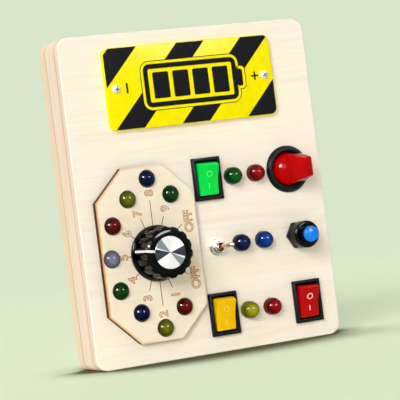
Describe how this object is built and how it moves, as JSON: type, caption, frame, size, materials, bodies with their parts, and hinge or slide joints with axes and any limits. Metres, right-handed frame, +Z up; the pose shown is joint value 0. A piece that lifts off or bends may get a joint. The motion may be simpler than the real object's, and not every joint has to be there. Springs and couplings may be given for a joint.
{
  "type": "wooden busy board",
  "caption": "Flat wooden box for small children, with rocker, toggle, paddle and push switches, a fluted dial knob and coloured lamps on its front.",
  "frame": {"origin": "middle of the bottom face, half way through the board's depth", "axes": "+Z up along the board's height, -Y out of the front with the switches, +X to the right as seen from the front"},
  "size_m": [0.133, 0.045, 0.16],
  "materials": {
    "black_gloss": "gloss moulded",
    "black_moulding": "satin moulded",
    "black_steel": "blackened",
    "black_wire": "insulated wire",
    "blue_plastic": "gloss moulded",
    "brass_bush": "turned",
    "cell_jacket": "printed metal sleeve, plain",
    "dial_wood": "smooth plywood with burnt numerals and edges",
    "green_plastic": "gloss moulded",
    "label_face": "printed yellow with black hazard stripes, satin",
    "lamp_blue": "translucent gloss",
    "lamp_clear": "translucent gloss",
    "lamp_green": "translucent gloss",
    "lamp_red": "translucent gloss",
    "lamp_yellow": "translucent gloss",
    "nickel": "nickel plated",
    "plywood": "smooth clear-sealed birch plywood",
    "red_paddle": "slightly translucent gloss",
    "red_plastic": "gloss moulded",
    "red_wire": "insulated wire",
    "spring_steel": "drawn wire",
    "spun_aluminium": "spun finish",
    "tinned_leads": "tinned",
    "white_paint": "white filled line",
    "yellow_plastic": "gloss moulded",
    "zinc_screws": "zinc plated"
  },
  "bodies": {
    "board": {"back_panel": "plywood", "back_screws": "zinc_screws", "batteries": "cell_jacket", "battery_box": "black_moulding", "battery_contacts": "tinned_leads", "battery_door": "plywood", "dial_plate": "dial_wood", "door_screws": "zinc_screws", "front_panel": "plywood", "label_plate": "label_face", "label_screws": "zinc_screws", "lamp_blue_left": "lamp_blue", "lamp_blue_right": "lamp_blue", "lamp_dial_1": "lamp_red", "lamp_dial_2": "lamp_yellow", "lamp_dial_3": "lamp_blue", "lamp_dial_4": "lamp_green", "lamp_dial_5": "lamp_clear", "lamp_dial_6": "lamp_red", "lamp_dial_7": "lamp_yellow", "lamp_dial_8": "lamp_blue", "lamp_dial_9": "lamp_green", "lamp_green": "lamp_green", "lamp_leads": "tinned_leads", "lamp_red_high": "lamp_red", "lamp_red_low": "lamp_red", "lamp_yellow": "lamp_yellow", "middle_frame": "plywood", "paddle_contacts": "tinned_leads", "paddle_housing": "black_moulding", "push_body": "black_moulding", "push_contacts": "tinned_leads", "push_nuts": "black_steel", "push_spring": "spring_steel", "rocker_contacts": "tinned_leads", "rocker_housing_green": "black_moulding", "rocker_housing_red": "black_moulding", "rocker_housing_yellow": "black_moulding", "rotary_body": "black_moulding", "rotary_bush": "nickel", "rotary_contacts": "tinned_leads", "rotary_nut": "nickel", "toggle_body": "black_moulding", "toggle_bush": "nickel", "toggle_contacts": "tinned_leads", "toggle_nut": "nickel", "wires_black": "black_wire", "wires_red": "red_wire"},
    "knob": {"knob_body": "black_gloss", "knob_insert": "brass_bush", "knob_disc": "spun_aluminium", "knob_pointer": "white_paint", "knob_set_screw": "black_steel", "rotary_spindle": "nickel"},
    "rocker_green": {"rocker_green": "green_plastic"},
    "rocker_yellow": {"rocker_yellow": "yellow_plastic"},
    "rocker_red": {"rocker_red": "red_plastic"},
    "toggle_lever": {"toggle_lever": "nickel"},
    "paddle_lever": {"paddle_lever": "red_paddle"},
    "push_cap": {"push_cap": "blue_plastic"}
  },
  "joints": [
    {"name": "dial_turn", "type": "hinge", "parent": "board", "child": "knob", "pos_m": [-0.0301, -0.0125, 0.0525], "axis": [0, -1, 0], "range_deg": [-131.8, 150.8]},
    {"name": "green_rocker_tilt", "type": "hinge", "parent": "board", "child": "rocker_green", "pos_m": [0.0028, -0.0134, 0.0851], "axis": [1, 0, 0], "range_deg": [-32, 0]},
    {"name": "yellow_rocker_tilt", "type": "hinge", "parent": "board", "child": "rocker_yellow", "pos_m": [0.0028, -0.0134, 0.0185], "axis": [1, 0, 0], "range_deg": [-32, 0]},
    {"name": "red_rocker_tilt", "type": "hinge", "parent": "board", "child": "rocker_red", "pos_m": [0.0494, -0.0134, 0.0185], "axis": [1, 0, 0], "range_deg": [-32, 0]},
    {"name": "toggle_throw", "type": "hinge", "parent": "board", "child": "toggle_lever", "pos_m": [0.0037, -0.0141, 0.0512], "axis": [-0.309, 0, 0.9511], "range_deg": [-25, 0]},
    {"name": "paddle_throw", "type": "hinge", "parent": "board", "child": "paddle_lever", "pos_m": [0.0478, -0.0115, 0.0851], "axis": [0, 0, 1], "range_deg": [-40, 0]},
    {"name": "push_button", "type": "slide", "parent": "board", "child": "push_cap", "axis": [0, 1, 0], "range_m": [0, 0.003], "stiffness_N_per_m": 300, "springref_m": -0.002, "deforming": ["push_spring"]}
  ]
}
